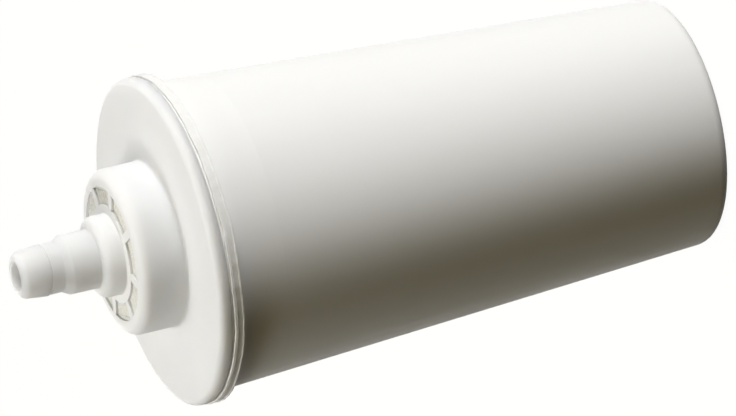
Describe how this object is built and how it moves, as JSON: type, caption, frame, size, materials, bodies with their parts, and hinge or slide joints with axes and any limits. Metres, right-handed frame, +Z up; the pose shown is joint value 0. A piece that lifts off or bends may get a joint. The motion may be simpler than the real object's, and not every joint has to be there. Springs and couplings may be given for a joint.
{
  "type": "water filter cartridge",
  "caption": "White drafted cylinder cartridge with a welded flange, windowed hub and barbed outlet spigot, holding a granulate bed that softens water in a drinks machine's tank",
  "frame": {"origin": "centre of the flat closed end, on the surface that the cartridge stands on", "axes": "+Z runs up the axis of the cartridge from the closed end to the tip of the outlet spigot; +X and +Y are square to it"},
  "size_m": [0.0564, 0.0564, 0.1212],
  "materials": {
    "housing_plastic": "white moulded polypropylene, fine satin grain",
    "cap_plastic": "white moulded polypropylene, satin, slightly warm",
    "sieve_plastic": "natural polypropylene, plain",
    "fleece": "cream non-woven felt",
    "granulate": "amber resin beads mixed with black carbon grains"
  },
  "bodies": {
    "root": {"housing": "housing_plastic", "base_cap": "cap_plastic", "hub_fleece": "fleece", "inlet_sieve": "sieve_plastic", "inlet_fleece": "fleece", "granulate_bed": "granulate", "outlet_fleece": "fleece", "outlet_sieve": "sieve_plastic", "return_tube": "sieve_plastic"}
  },
  "joints": []
}
